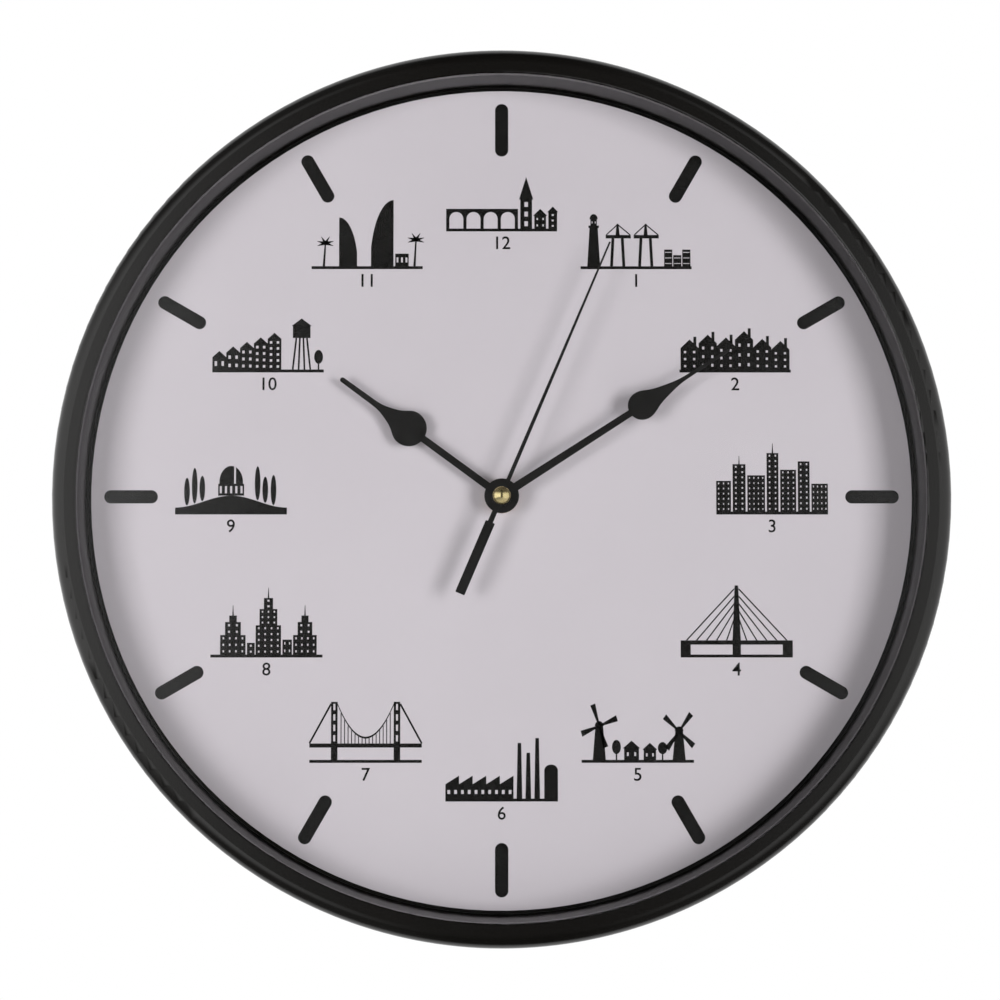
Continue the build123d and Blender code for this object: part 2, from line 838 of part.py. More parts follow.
# Rotor: a shaft with its pinion, and the magnet round it
rotor_middle = stator_rear + stator_thickness / 2
magnet_rear = rotor_middle - magnet_length / 2
magnet_front = rotor_middle + magnet_length / 2
rotor_pinion_rear = intermediate_rear - pinion_overlap
rotor_pinion_front = intermediate_front + pinion_overlap
with BuildPart() as rotor_pinion:
    turned(
        rotor_axis,
        (pivot_radius, pivot_rear, rear_shoulder),
        (arbor_radius, rear_shoulder, front_shoulder),
        (rotor_core_radius, magnet_rear, rotor_pinion_rear),
        (pivot_radius, front_shoulder, pivot_front),
    )
    toothed(
        rotor_axis, rotor_pinion_rear, rotor_pinion_front, rotor_pinion_teeth, rotor_module, pinion_form
    )

with BuildPart() as rotor_magnet:
    turned(rotor_axis, (magnet_radius, magnet_rear, magnet_front))
    turned(rotor_axis, (rotor_core_radius + press_gap, magnet_rear, magnet_front), mode=Mode.SUBTRACT)

# Intermediate wheel with its pinion
with BuildPart() as intermediate_wheel:
    turned(
        intermediate_axis,
        (pivot_radius, pivot_rear, rear_shoulder),
        (arbor_radius, rear_shoulder, front_shoulder),
        (pivot_radius, front_shoulder, pivot_front),
    )
    toothed(
        intermediate_axis,
        seconds_rear - pinion_overlap / 2,
        seconds_front + pinion_overlap,
        intermediate_pinion_teeth,
        seconds_module,
        pinion_form,
    )
    toothed(
        intermediate_axis,
        intermediate_rear,
        intermediate_front,
        intermediate_wheel_teeth,
        rotor_module,
        wheel_form,
        meshed_phase(rotor_axis, rotor_pinion_teeth, intermediate_axis, intermediate_wheel_teeth),
    )

# Seconds wheel with its pinion, pressed on the seconds arbor
seconds_pinion_front = third_front + pinion_overlap
with BuildPart() as seconds_wheel:
    toothed(
        centre_axis,
        seconds_rear,
        seconds_front,
        seconds_wheel_teeth,
        seconds_module,
        wheel_form,
        meshed_phase(intermediate_axis, intermediate_pinion_teeth, centre_axis, seconds_wheel_teeth),
    )
    toothed(
        centre_axis, seconds_front, seconds_pinion_front, seconds_pinion_teeth, third_module, pinion_form
    )
    turned(
        centre_axis,
        (seconds_arbor_radius + press_gap, seconds_rear, seconds_pinion_front),
        mode=Mode.SUBTRACT,
    )

with BuildPart() as seconds_arbor:
    turned(centre_axis, (seconds_arbor_radius, pivot_rear, second_hand_front - press_gap))

# Third wheel with its pinion
with BuildPart() as third_wheel:
    turned(
        third_axis,
        (pivot_radius, pivot_rear, rear_shoulder),
        (arbor_radius, rear_shoulder, front_shoulder),
        (pivot_radius, front_shoulder, pivot_front),
    )
    toothed(
        third_axis,
        third_rear,
        third_front,
        third_wheel_teeth,
        third_module,
        wheel_form,
        meshed_phase(centre_axis, seconds_pinion_teeth, third_axis, third_wheel_teeth),
    )
    toothed(
        third_axis,
        third_front,
        centre_front + pinion_overlap,
        third_pinion_teeth,
        centre_module,
        pinion_form,
    )

# Minute tube with the cannon pinion, and the centre wheel that grips it by friction
cannon_rear = reversing_rear - pinion_overlap / 2
cannon_front = reversing_front + pinion_overlap
minute_bore = seconds_arbor_radius + running_gap
with BuildPart() as minute_tube:
    turned(
        centre_axis,
        (minute_tube_radius, intermediate_front, minute_hand_front + tube_past_hand),
    )
    toothed(centre_axis, cannon_rear, cannon_front, cannon_pinion_teeth, cannon_module, pinion_form)
    turned(
        centre_axis,
        (minute_bore, intermediate_front, minute_hand_front + tube_past_hand),
        mode=Mode.SUBTRACT,
    )

with BuildPart() as centre_wheel:
    toothed(
        centre_axis,
        centre_rear,
        centre_front,
        centre_wheel_teeth,
        centre_module,
        wheel_form,
        meshed_phase(third_axis, third_pinion_teeth, centre_axis, centre_wheel_teeth),
    )
    turned(centre_axis, (centre_hub_radius, centre_front, cannon_rear))
    turned(
        centre_axis,
        (minute_tube_radius + press_gap, centre_rear, cannon_rear),
        mode=Mode.SUBTRACT,
    )

# Setting knob with its shaft, and the reversing wheel pressed on that shaft
knob_front = movement_rear - knob_gap
knob_rear = knob_front - knob_thickness
with BuildPart() as set_knob:
    turned(
        reversing_axis,
        (knob_radius, knob_rear, knob_front),
        (knob_shaft_radius, knob_front, front_shoulder),
        (knob_pivot_radius, front_shoulder, pivot_front),
    )
    with BuildSketch(on_arbor(reversing_axis, knob_rear)):
        with PolarLocations(knob_radius, knob_notches):
            Circle(knob_notch_radius)
    extrude(amount=knob_thickness, mode=Mode.SUBTRACT)

reversing_pinion_front = hour_front + pinion_overlap
with BuildPart() as reversing_wheel:
    toothed(
        reversing_axis,
        reversing_rear,
        reversing_front,
        reversing_wheel_teeth,
        cannon_module,
        wheel_form,
        meshed_phase(centre_axis, cannon_pinion_teeth, reversing_axis, reversing_wheel_teeth),
    )
    toothed(
        reversing_axis,
        reversing_front,
        reversing_pinion_front,
        reversing_pinion_teeth,
        hour_module,
        pinion_form,
    )
    turned(
        reversing_axis,
        (knob_shaft_radius + press_gap, reversing_rear, reversing_pinion_front),
        mode=Mode.SUBTRACT,
    )

# Hour wheel with the hour tube
hour_tube_rear = cannon_front + pinion_overlap
hour_tube_front = hour_hand_front + tube_past_hand
with BuildPart() as hour_wheel:
    toothed(
        centre_axis,
        hour_rear,
        hour_front,
        hour_wheel_teeth,
        hour_module,
        wheel_form,
        meshed_phase(reversing_axis, reversing_pinion_teeth, centre_axis, hour_wheel_teeth),
    )
    turned(centre_axis, (hour_tube_radius, hour_tube_rear, hour_tube_front))
    turned(
        centre_axis,
        (minute_tube_radius + running_gap, hour_tube_rear, hour_tube_front),
        mode=Mode.SUBTRACT,
    )

# Hour hand and the brass collet that grips the hour tube
collet_radius = hour_tube_radius + press_gap + collet_wall
with BuildPart() as hour_hand:
    extrude(
        leaf_hand(
            along_hand(hour_angle, hour_hand_rear),
            hour_length,
            hour_stem,
            hour_tip_width,
            hour_bulb_centre,
            hour_bulb_radius,
            hour_taper,
            hour_hub_radius,
        ),
        amount=hand_thickness,
    )
    turned(
        centre_axis, (collet_radius + press_gap, hour_hand_rear, hour_hand_front), mode=Mode.SUBTRACT
    )

with BuildPart() as hour_collet:
    turned(
        centre_axis,
        (collet_radius, hour_hand_front - collet_length, hour_hand_front),
        (collet_radius + collet_flange, hour_hand_rear - collet_flange, hour_hand_rear),
    )
    turned(
        centre_axis,
        (hour_tube_radius + press_gap, hour_hand_front - collet_length, hour_hand_front),
        mode=Mode.SUBTRACT,
    )

# Minute hand with its hub disc and collar
with BuildPart() as minute_hand:
    extrude(
        leaf_hand(
            along_hand(minute_angle, minute_hand_rear),
            minute_length,
            minute_stem,
            minute_tip_width,
            minute_bulb_centre,
            minute_bulb_radius,
            minute_taper,
            minute_hub_radius,
        ),
        amount=hand_thickness,
    )
    turned(
        centre_axis,
        (minute_collar_radius, minute_hand_rear - minute_collar_length, minute_hand_rear),
    )
    turned(
        centre_axis,
        (
            minute_tube_radius + press_gap,
            minute_hand_rear - minute_collar_length,
            minute_hand_front,
        ),
        mode=Mode.SUBTRACT,
    )

# Second hand: tapered blade, hub and bar counterweight
with BuildPart() as second_hand:
    with BuildSketch(along_hand(second_angle, second_hand_rear)) as blade:
        with BuildLine():
            Polyline(
                (-second_blade[0] / 2, 0),
                (second_blade[0] / 2, 0),
                (second_blade[1] / 2, second_length),
                (-second_blade[1] / 2, second_length),
                close=True,
            )
        make_face()
        with Locations((0, -second_neck_length / 2)):
            Rectangle(second_neck_width, second_neck_length)
        with Locations((0, -(second_neck_length + second_weight_end) / 2)):
            RectangleRounded(
                second_weight_width, second_weight_end - second_neck_length, second_weight_round
            )
        Circle(second_hub_radius)
        Circle(cap_tube_radius + press_gap, mode=Mode.SUBTRACT)
    extrude(amount=second_hand_thickness)

# Brass cap with its tube, which carries the second hand on the arbor
with BuildPart() as second_hand_cap:
    dome_rise = cap_height - cap_edge
    dome_radius = (cap_radius**2 + dome_rise**2) / (2 * dome_rise)
    with BuildSketch(section_at(centre_axis)):
        with BuildLine():
            Polyline(
                (0, second_hand_front),
                (seconds_arbor_radius + press_gap, second_hand_front),
                (seconds_arbor_radius + press_gap, second_hand_rear - cap_tube_length),
                (cap_tube_radius, second_hand_rear - cap_tube_length),
                (cap_tube_radius, second_hand_front),
                (cap_radius, second_hand_front),
                (cap_radius, second_hand_front + cap_edge),
            )
            RadiusArc(
                (cap_radius, second_hand_front + cap_edge),
                (0, second_hand_front + cap_height),
                -dome_radius,
            )
            Line((0, second_hand_front + cap_height), (0, second_hand_front))
        make_face()
    revolve(axis=Axis.Y)

pieces = {
    "bezel_ring": bezel_ring,
    "lens_glass": lens_glass,
    "back_case": back_case,
    "case_screws": case_screws,
    "dial_plate": dial_plate,
    "movement_rear_case": movement_rear_case,
    "movement_front_case": movement_front_case,
    "threaded_bush": threaded_bush,
    "rubber_washer": rubber_washer,
    "dial_washer": dial_washer,
    "hex_nut": hex_nut,
    "circuit_board": circuit_board,
    "chip_drop": chip_drop,
    "quartz_crystal": quartz_crystal,
    "stator": stator,
    "coil_core": coil_core,
    "coil_bobbin": coil_bobbin,
    "coil_winding": coil_winding,
    "motor_screws": motor_screws,
    "positive_contact": positive_contact,
    "negative_contact": negative_contact,
    "battery_cell": battery_cell,
    "rotor_pinion": rotor_pinion,
    "rotor_magnet": rotor_magnet,
    "intermediate_wheel": intermediate_wheel,
    "seconds_wheel": seconds_wheel,
    "seconds_arbor": seconds_arbor,
    "third_wheel": third_wheel,
    "minute_tube": minute_tube,
    "centre_wheel": centre_wheel,
    "set_knob": set_knob,
    "reversing_wheel": reversing_wheel,
    "hour_wheel": hour_wheel,
    "hour_hand": hour_hand,
    "hour_collet": hour_collet,
    "minute_hand": minute_hand,
    "second_hand": second_hand,
    "second_hand_cap": second_hand_cap,
}
for name, piece in pieces.items():
    piece.part.label = name
    export_step(piece.part, f"parts/{name}.step")
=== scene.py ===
from math import cos, pi, radians, sin

import bpy
import numpy as np
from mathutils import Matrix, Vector


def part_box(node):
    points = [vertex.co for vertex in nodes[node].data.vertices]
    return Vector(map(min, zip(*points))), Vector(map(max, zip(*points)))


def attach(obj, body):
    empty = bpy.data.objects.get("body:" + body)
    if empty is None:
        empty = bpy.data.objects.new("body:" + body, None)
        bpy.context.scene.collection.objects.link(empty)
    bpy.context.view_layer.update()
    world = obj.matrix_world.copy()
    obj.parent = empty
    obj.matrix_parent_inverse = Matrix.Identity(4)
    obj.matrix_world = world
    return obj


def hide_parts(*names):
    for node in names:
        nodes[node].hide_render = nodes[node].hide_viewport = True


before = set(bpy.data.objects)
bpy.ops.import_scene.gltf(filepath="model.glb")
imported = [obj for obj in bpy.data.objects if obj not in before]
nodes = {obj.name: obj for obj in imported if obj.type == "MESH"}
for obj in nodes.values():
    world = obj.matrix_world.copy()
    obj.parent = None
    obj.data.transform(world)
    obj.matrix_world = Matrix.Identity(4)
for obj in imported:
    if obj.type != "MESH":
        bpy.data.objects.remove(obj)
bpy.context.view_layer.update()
mm = 0.001


# Frame ring. One moulding of black ABS with a sloping skirt, a rounded rim and a lip over the glass.
# The mould is spark eroded, so the skin is satin: dense fine pits under broad, faint flow marks.
def add_node(tree, kind, inputs=None, **settings):
    """A shader node with its settings, and its inputs given as values or as the sockets that feed them."""
    made = tree.nodes.new("ShaderNode" + kind)
    for name, value in settings.items():
        setattr(made, name, value)
    for key, value in (inputs or {}).items():
        if isinstance(value, bpy.types.NodeSocket):
            tree.links.new(value, made.inputs[key])
        else:
            made.inputs[key].default_value = value
    return made


def new_group(name, inputs, outputs):
    """An empty shader group with its named float inputs and outputs, and the two nodes that hold them."""
    tree = bpy.data.node_groups.new(name, "ShaderNodeTree")
    for label, value in inputs.items():
        tree.interface.new_socket(label, in_out="INPUT", socket_type="NodeSocketFloat").default_value = value
    for label in outputs:
        tree.interface.new_socket(label, in_out="OUTPUT", socket_type="NodeSocketFloat")
    return tree, tree.nodes.new("NodeGroupInput"), tree.nodes.new("NodeGroupOutput")


def build_grain():
    """Fine grain and broad mottling: two noises of different scale, both from 0 to 1, counted per metre."""
    tree, given, made = new_group("moulded_grain", {"Fine": 900.0, "Broad": 20.0}, ("Grain", "Mottle"))
    place = add_node(tree, "TexCoord").outputs["Object"]
    fine = add_node(tree, "TexNoise", {"Vector": place, "Scale": given.outputs["Fine"], "Detail": 2.0})
    broad = add_node(tree, "TexNoise", {"Vector": place, "Scale": given.outputs["Broad"], "Detail": 3.0})
    even = add_node(tree, "MapRange", {"Value": broad.outputs["Fac"], "From Min": 0.3, "From Max": 0.7})
    tree.links.new(fine.outputs["Fac"], made.inputs["Grain"])
    tree.links.new(even.outputs["Result"], made.inputs["Mottle"])
    return tree


moulded_grain = build_grain()


def finish(name, tones, gloss, fine, broad, depth, **plain):
    """A material that runs between two tones with the mottling, and between two roughnesses with a grain
    of that depth. Every other input of the shader that is given stays plain."""
    material = bpy.data.materials.new(name)
    material.use_nodes = True
    tree = material.node_tree
    surface = tree.nodes["Principled BSDF"]
    grain = add_node(tree, "Group", node_tree=moulded_grain)
    grain.inputs["Fine"].default_value = fine
    grain.inputs["Broad"].default_value = broad
    tone = add_node(tree, "ValToRGB", {"Fac": grain.outputs["Mottle"]})
    tone.color_ramp.elements[0].color = (*tones[0], 1.0)
    tone.color_ramp.elements[1].color = (*tones[1], 1.0)
    sheen = {"Value": grain.outputs["Grain"], "From Min": 0.25, "From Max": 0.75}
    satin = add_node(tree, "MapRange", {**sheen, "To Min": gloss[0], "To Max": gloss[1]})
    bump = add_node(tree, "Bump", {"Height": grain.outputs["Grain"], "Strength": 1.0, "Distance": depth})
    tree.links.new(tone.outputs["Color"], surface.inputs["Base Color"])
    tree.links.new(satin.outputs["Result"], surface.inputs["Roughness"])
    tree.links.new(bump.outputs["Normal"], surface.inputs["Normal"])
    for key, value in plain.items():
        surface.inputs[key.replace("_", " ")].default_value = value
    return material


def dress(material, *names):
    """Gives these nodes of the frame that material."""
    for name in names:
        nodes[name].material_slots[0].material = material


frame_tones = ((0.0038, 0.0034, 0.0028), (0.0052, 0.0047, 0.0040))
dress(finish("frame_black", frame_tones, (0.16, 0.22), 1400, 18, 0.006 * mm), "bezel_ring")


# Inner case. A black moulding behind the dial: a floor, a steep wall and on its edge the seat of the glass.
# The wall comes polished from the mould, so it mirrors the dial; the floor and the ribs behind it are matt.
def build_case():
    """Black plastic whose roughness steps up from the polished wall to the matt floor, by the height."""
    tones = ((0.0040, 0.0037, 0.0033), (0.0058, 0.0053, 0.0047))
    material = finish("case_black", tones, (0.15, 0.21), 700, 25, 0.001 * mm, Specular_IOR_Level=0.25)
    tree = material.node_tree
    roughness = tree.nodes["Principled BSDF"].inputs["Roughness"]
    polished = roughness.links[0].from_socket
    place = add_node(tree, "TexCoord").outputs["Object"]
    depth = add_node(tree, "SeparateXYZ", {"Vector": place}).outputs["Y"]
    floor_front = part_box("dial_plate")[1].y
    limits = {"From Min": floor_front - 0.5 * mm, "From Max": floor_front - 0.2 * mm, "To Max": 0.6}
    matt = add_node(tree, "MapRange", {"Value": depth, **limits}).outputs["Result"]
    rougher = add_node(tree, "Math", {0: polished, 1: matt}, operation="MAXIMUM").outputs["Value"]
    tree.links.new(rougher, roughness)
    return material


dress(build_case(), "back_case")

# Case screws. Six zinc plated steel pan heads with a cross recess, which pull the inner case to the ring.
# The plating is bright with a faint haze, and the heads keep fine marks from the driver.
zinc_tones = ((0.50, 0.50, 0.51), (0.66, 0.66, 0.65))
zinc_steel = finish("zinc_steel", zinc_tones, (0.22, 0.40), 2500, 160, 0.004 * mm, Metallic=1.0)
dress(zinc_steel, "case_screws", "motor_screws", "seconds_arbor", "positive_contact", "negative_contact")


# Glass. A flat disc of clear float glass with ground edges, clamped between the lip and the inner case.
# Light that casts shadows goes straight through it, as it does through a thin pane.
coated_index = 1.22


def build_glass():
    """Clear glass for the eye, whose low index stands for a coating against glare, and a filter for light."""
    material = bpy.data.materials.new("float_glass")
    material.use_nodes = True
    tree = material.node_tree
    surface = tree.nodes["Principled BSDF"]
    surface.inputs["Roughness"].default_value = 0.0
    surface.inputs["IOR"].default_value = coated_index
    surface.inputs["Transmission Weight"].default_value = 1.0
    grain = add_node(tree, "Group", node_tree=moulded_grain)
    grain.inputs["Broad"].default_value = 9.0
    tint = add_node(tree, "ValToRGB", {"Fac": grain.outputs["Mottle"]})
    tint.color_ramp.elements[0].color = (0.990, 0.993, 0.992, 1.0)
    tint.color_ramp.elements[1].color = (0.998, 1.0, 0.999, 1.0)
    tree.links.new(tint.outputs["Color"], surface.inputs["Base Color"])
    ray = add_node(tree, "LightPath")
    passing = {0: ray.outputs["Is Shadow Ray"], 1: ray.outputs["Is Diffuse Ray"]}
    filtered = add_node(tree, "Math", passing, operation="MAXIMUM")
    clear = add_node(tree, "BsdfTransparent", {"Color": (0.955, 0.959, 0.957, 1.0)})
    pane = {0: filtered.outputs["Value"], 1: surface.outputs["BSDF"], 2: clear.outputs["BSDF"]}
    shown = add_node(tree, "MixShader", pane).outputs["Shader"]
    tree.links.new(shown, tree.nodes["Material Output"].inputs["Surface"])
    return material


dress(build_glass(), "lens_glass")

# Dial. A disc of white coated card, glued to the floor of the case, with a faint lilac cast.
# Close to, the coating shows the fibres of the card as a very fine, shallow texture.
card_tones = ((0.655, 0.606, 0.650), (0.675, 0.626, 0.670))
dress(finish("dial_card", card_tones, (0.50, 0.62), 2200, 14, 0.006 * mm), "dial_plate")


# Dial print. Screen printed black ink: round-ended hour bars, twelve made-up skylines on their ground
# lines and the hour under each. The ink stands a few hundredths of a millimetre proud of the card.
dial_face = -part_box("dial_plate")[0].y / mm
ink_film = 0.03
ink_tones = ((0.0030, 0.0027, 0.0023), (0.0042, 0.0038, 0.0034))
printing_ink = finish("printing_ink", ink_tones, (0.24, 0.30), 3000, 90, 0.001 * mm)


def film(x, z, near, far, printed=None):
    """A thin flat film on a grid of places in millimetres: a face and a back at two heights, and a wall along
    each cell edge that has a printed cell on one side only. Returns corners and quads."""
    rows, columns = x.shape
    count = rows * columns
    printed = np.ones((rows - 1, columns - 1), bool) if printed is None else printed
    number = np.arange(count).reshape(rows, columns)
    a, b, c, d = number[:-1, :-1], number[:-1, 1:], number[1:, 1:], number[1:, :-1]
    ring = np.pad(printed, 1)
    open_left = printed & ~ring[1:-1, :-2]
    open_right = printed & ~ring[1:-1, 2:]
    open_below = printed & ~ring[:-2, 1:-1]
    open_above = printed & ~ring[2:, 1:-1]
    quads = np.concatenate([
        np.stack([a, b, c, d], -1)[printed],
        np.stack([a, d, c, b], -1)[printed] + count,
        np.stack([a, d, d + count, a + count], -1)[open_left],
        np.stack([b, b + count, c + count, c], -1)[open_right],
        np.stack([a, a + count, b + count, b], -1)[open_below],
        np.stack([d, c, c + count, d + count], -1)[open_above],
    ])
    flat = np.stack([x.ravel(), np.zeros(count), z.ravel()], -1)
    corners = np.concatenate([flat - (0, near, 0), flat - (0, far, 0)])
    used, quads = np.unique(quads, return_inverse=True)
    quads = quads.reshape(-1, 4)
    return corners[used], quads if near > far else quads[:, ::-1]


def put_piece(name, parts, material, body):
    """One mesh piece made of several lots of corners and faces, in millimetres, riding on a body."""
    offsets = np.cumsum([0] + [len(corners) for corners, faces in parts[:-1]])
    corners = np.concatenate([corners for corners, faces in parts]) * mm
    lots = [(np.asarray(faces) + first).tolist() for (corners_of_lot, faces), first in zip(parts, offsets)]
    mesh = bpy.data.meshes.new(name)
    mesh.from_pydata(corners.tolist(), [], [face for lot in lots for face in lot])
    mesh.update()
    mesh.materials.append(material)
    piece = bpy.data.objects.new(name, mesh)
    bpy.context.scene.collection.objects.link(piece)
    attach(piece, body)
    return piece


def on_dial(shapes, x=0.0, z=0.0):
    """The ink film of flat shapes, moved to a place on the dial."""
    top = dial_face + ink_film
    return [film(across + x, up + z, top, dial_face, printed) for across, up, printed in shapes]


def steps(start, length, count, share):
    """Edges along a row of openings, where each opening takes its share of one pitch, in its middle."""
    pitch = length / max(count, 1)
    edges = (np.arange(count)[:, None] + 0.5 + np.array([-0.5, 0.5]) * share).ravel() * pitch
    return start + np.concatenate([[0.0], edges, [length]])


def block(left, width, foot, top, bays=0, floors=0, opening=(0.24, 0.32)):
    """A wall on a lattice of pillars and bands, with no ink where a column of windows crosses a floor."""
    x, z = np.meshgrid(steps(left, width, bays, opening[0]), steps(foot, top - foot, floors, opening[1]))
    printed = np.ones((len(z) - 1, len(x[0]) - 1), bool)
    printed[1::2, 1::2] = False
    return x, z, printed


def strip(x, low, high):
    """The area between a lower and an upper outline over the same places."""
    x, low, high = np.broadcast_arrays(np.asarray(x, float), low, high)
    return np.stack([x, x]), np.stack([low, high]), None


def member(foot, top, foot_width, top_width):
    """A straight post, spar or cable from one point to another, with its width measured across it."""
    foot, top = np.asarray(foot, float), np.asarray(top, float)
    along = (top - foot) / np.linalg.norm(top - foot)
    side = np.array([along[1], -along[0]]) / 2
    left = np.stack([foot - side * foot_width, top - side * top_width])
    right = np.stack([foot + side * foot_width, top + side * top_width])
    return np.stack([left[:, 0], right[:, 0]], -1), np.stack([left[:, 1], right[:, 1]], -1), None


def roof(left, width, eaves, rise):
    """A pitched roof: the area from the eaves up to two slopes that meet in the middle."""
    return strip([left, left + width / 2, left + width], eaves, [eaves + 0.15, eaves + rise, eaves + 0.15])


half_turn = np.linspace(0.06, pi - 0.06, 25)


def dome(left, width, foot, rise):
    """A half ellipse, cut a little short at its feet: places by an angle's cosine, heights by its sine."""
    return strip(left + width * (1 - np.cos(half_turn)) / 2, foot, foot + rise * np.sin(half_turn))


def oval(middle, width, foot, height):
    """A whole ellipse, as a tree crown, cut a little short at both sides: half its height by the sine."""
    half = np.sin(half_turn) * height / 2
    return strip(middle - np.cos(half_turn) * width / 2, foot + height / 2 - half, foot + height / 2 + half)


def house(left, width, eaves, rise, bays=2, floors=2):
    """A house front with its windows and a pitched roof."""
    return [block(left, width, 0, eaves, bays, floors), roof(left - 0.3, width + 0.6, eaves, rise)]


def arcade(left, width, top, count, pier):
    """A wall of round arches: piers, and over each opening the area between a half circle and the top."""
    pitch = (width - pier) / count
    span = pitch - pier
    turn = np.linspace(0, pi, 21)
    spring = top - span / 2 - pier
    shapes = [block(left + pitch * k, pier, 0, top) for k in range(count + 1)]
    for k in range(count):
        across = left + pitch * k + pier + span * (1 - np.cos(turn)) / 2
        shapes.append(strip(across, spring + span / 2 * np.sin(turn), top))
    return shapes


def round_tree(middle, width, height, trunk=1.6):
    """A trunk under an oval crown."""
    return [block(middle - 0.25, 0.5, 0, trunk), oval(middle, width, trunk, height - trunk)]


def stepped(middle, width, storeys):
    """A tower of set-back blocks, each narrower than the one below it, under a mast."""
    shapes = []
    foot = 0.0
    for share, height, bays, floors in storeys:
        shapes.append(block(middle - width * share / 2, width * share, foot, foot + height, bays, floors))
        foot += height
    return shapes + [member((middle, foot), (middle, foot + 3.2), 0.5, 0.15)]


ground_half = 19.0


def viaduct_town():
    """A viaduct that runs up to a steeple between houses."""
    steeple = [block(6.4, 4.0, 0, 10.0, 1, 3, (0.3, 0.5)), roof(6.0, 4.8, 10.0, 7.8)]
    houses = house(11.2, 4.0, 4.4, 2.4) + house(16.0, 3.0, 5.6, 2.0, 1, 3)
    return arcade(-ground_half, 24.6, 6.8, 4, 1.1) + steeple + houses


def harbour():
    """Containers, two quay cranes and a lighthouse."""
    stacks = [block(9.6 + 3.1 * k, 2.8, 0, 1.6 * n, 1, n, (0.8, 0.12)) for k, n in enumerate((3, 2, 3))]
    cranes = []
    for x in (-8.4, 1.2):
        cranes += [member((x, 0), (x + 0.5, 8.0), 1.0, 1.0), member((x + 4.2, 0), (x + 3.7, 8.0), 1.0, 1.0)]
        cranes += [block(x - 2.0, 8.6, 8.0, 9.0), member((x + 2.1, 9.0), (x + 2.1, 12.2), 1.4, 0.6)]
        cranes += [member((x + 2.1, 12.0), (end, 9.0), 0.35, 0.35) for end in (x - 1.8, x + 6.4)]
    lamp = [block(-16.3, 3.6, 11.0, 11.7), block(-15.6, 2.2, 11.7, 13.5, 2, 1), dome(-15.9, 2.8, 13.5, 1.5)]
    return stacks + cranes + [member((-14.5, 0), (-14.5, 11.0), 4.4, 2.8)] + lamp


def terrace():
    """A terrace of narrow houses with chimneys."""
    shapes = []
    for k, eaves in enumerate((6.0, 7.4, 6.6, 8.4, 6.2, 5.6)):
        left = -18.6 + 6.2 * k
        shapes += [block(left, 6.2, 0, eaves, 2, 3), roof(left, 6.2, eaves, 2.6)]
        shapes.append(strip([left + 4.4, left + 5.4], [eaves + 1.51, eaves + 0.67], eaves + 3.4))
    return shapes


def slab_towers():
    """Office slabs of different heights, two of them with masts."""
    towers = ((-ground_half, 5, 11, 3, 6), (-13.4, 4.4, 17, 2, 9), (-8.4, 6, 13, 4, 7), (-1.8, 4, 21, 2, 11),
              (2.8, 5.4, 15, 3, 8), (8.8, 4, 18, 2, 9), (13.4, 5.6, 10, 4, 5))
    shapes = [block(left, width, 0, top, bays, floors) for left, width, top, bays, floors in towers]
    return shapes + [member((0.2, 21), (0.2, 24.5), 0.5, 0.15), member((-11.2, 17), (-11.2, 20), 0.4, 0.15)]


def stayed_bridge():
    """A bridge hung on straight stays from one tall pylon, with low blocks at both ends."""
    underside, deck, abutment = 2.8, 4.0, 3.4
    shapes = [block(-ground_half, 2 * ground_half, underside, deck), block(-1.4, 2.8, 0, underside)]
    shapes.append(member((0, deck), (0, 19.5), 2.8, 1.2))
    for k in range(1, 6):
        for side in (-1, 1):
            shapes.append(member((side * 3.4 * k, deck), (side * 0.8, 8.0 + 2.1 * k), 0.4, 0.4))
    return shapes + [block(left, abutment, 0, underside) for left in (-ground_half, ground_half - abutment)]


def mills():
    """Two windmills among cottages and trees."""
    shapes = house(-4.6, 5.0, 3.2, 2.2, 2, 1) + house(2.0, 4.2, 2.8, 2.0, 2, 1)
    shapes += round_tree(-7.2, 3.0, 5.6) + round_tree(8.4, 3.2, 5.0)
    for x, height, turn in ((-13.0, 9.5, 20), (14.0, 8.0, 50)):
        shapes += [member((x, 0), (x, height), 4.4, 2.6), dome(x - 1.5, 3.0, height, 1.4)]
        for quarter in range(4):
            angle = radians(turn + 90 * quarter)
            ray = np.array([cos(angle), sin(angle)])
            shapes.append(member(ray * 0.3 + (x, height), ray * 6.4 + (x, height), 0.5, 1.8))
    return shapes


def works():
    """A works with a saw-tooth roof, three chimneys and a silo."""
    eaves, bay, bays = 4.0, 4.6, 5
    lefts = [bay * k - ground_half for k in range(bays)]
    shapes = [strip([left, left + bay], eaves, [4.4, 7.0]) for left in lefts]
    shapes += [block(-ground_half, bay * bays, 0, eaves, 10, 1, (0.4, 0.3))]
    shapes += [member((x, 0), (x, top), 1.9, 1.2) for x, top in ((6.0, 17.0), (9.0, 14.0), (12.0, 18.5))]
    return shapes + [block(14.4, 4.6, 0, 8.6, 0, 4, (1, 0.2)), dome(14.4, 4.6, 8.6, 1.8)]


def hung_bridge():
    """A bridge that hangs from two cables between towers."""
    underside, deck, tower, half = 3.6, 4.8, 10.6, 1.1
    shapes = [block(-ground_half, 2 * ground_half, underside, deck)]
    for side in (-1, 1):
        left = side * tower - half
        shapes += [block(left, 2 * half, 0, underside), block(left, 2 * half, deck, 17.0, 1, 4, (0.3, 0.6))]
        shapes.append(member((side * ground_half, deck), (side * (tower + half), 16.4), 0.6, 0.6))
    across = np.linspace(half - tower, tower - half, 33)
    sag = 6.2 + 9.8 * (across / (tower - half)) ** 2
    shapes.append(strip(across, sag, sag + 0.6))
    shapes += [block(x - 0.15, 0.3, deck, low) for x, low in zip(across[2:-2:2], sag[2:-2:2])]
    return shapes


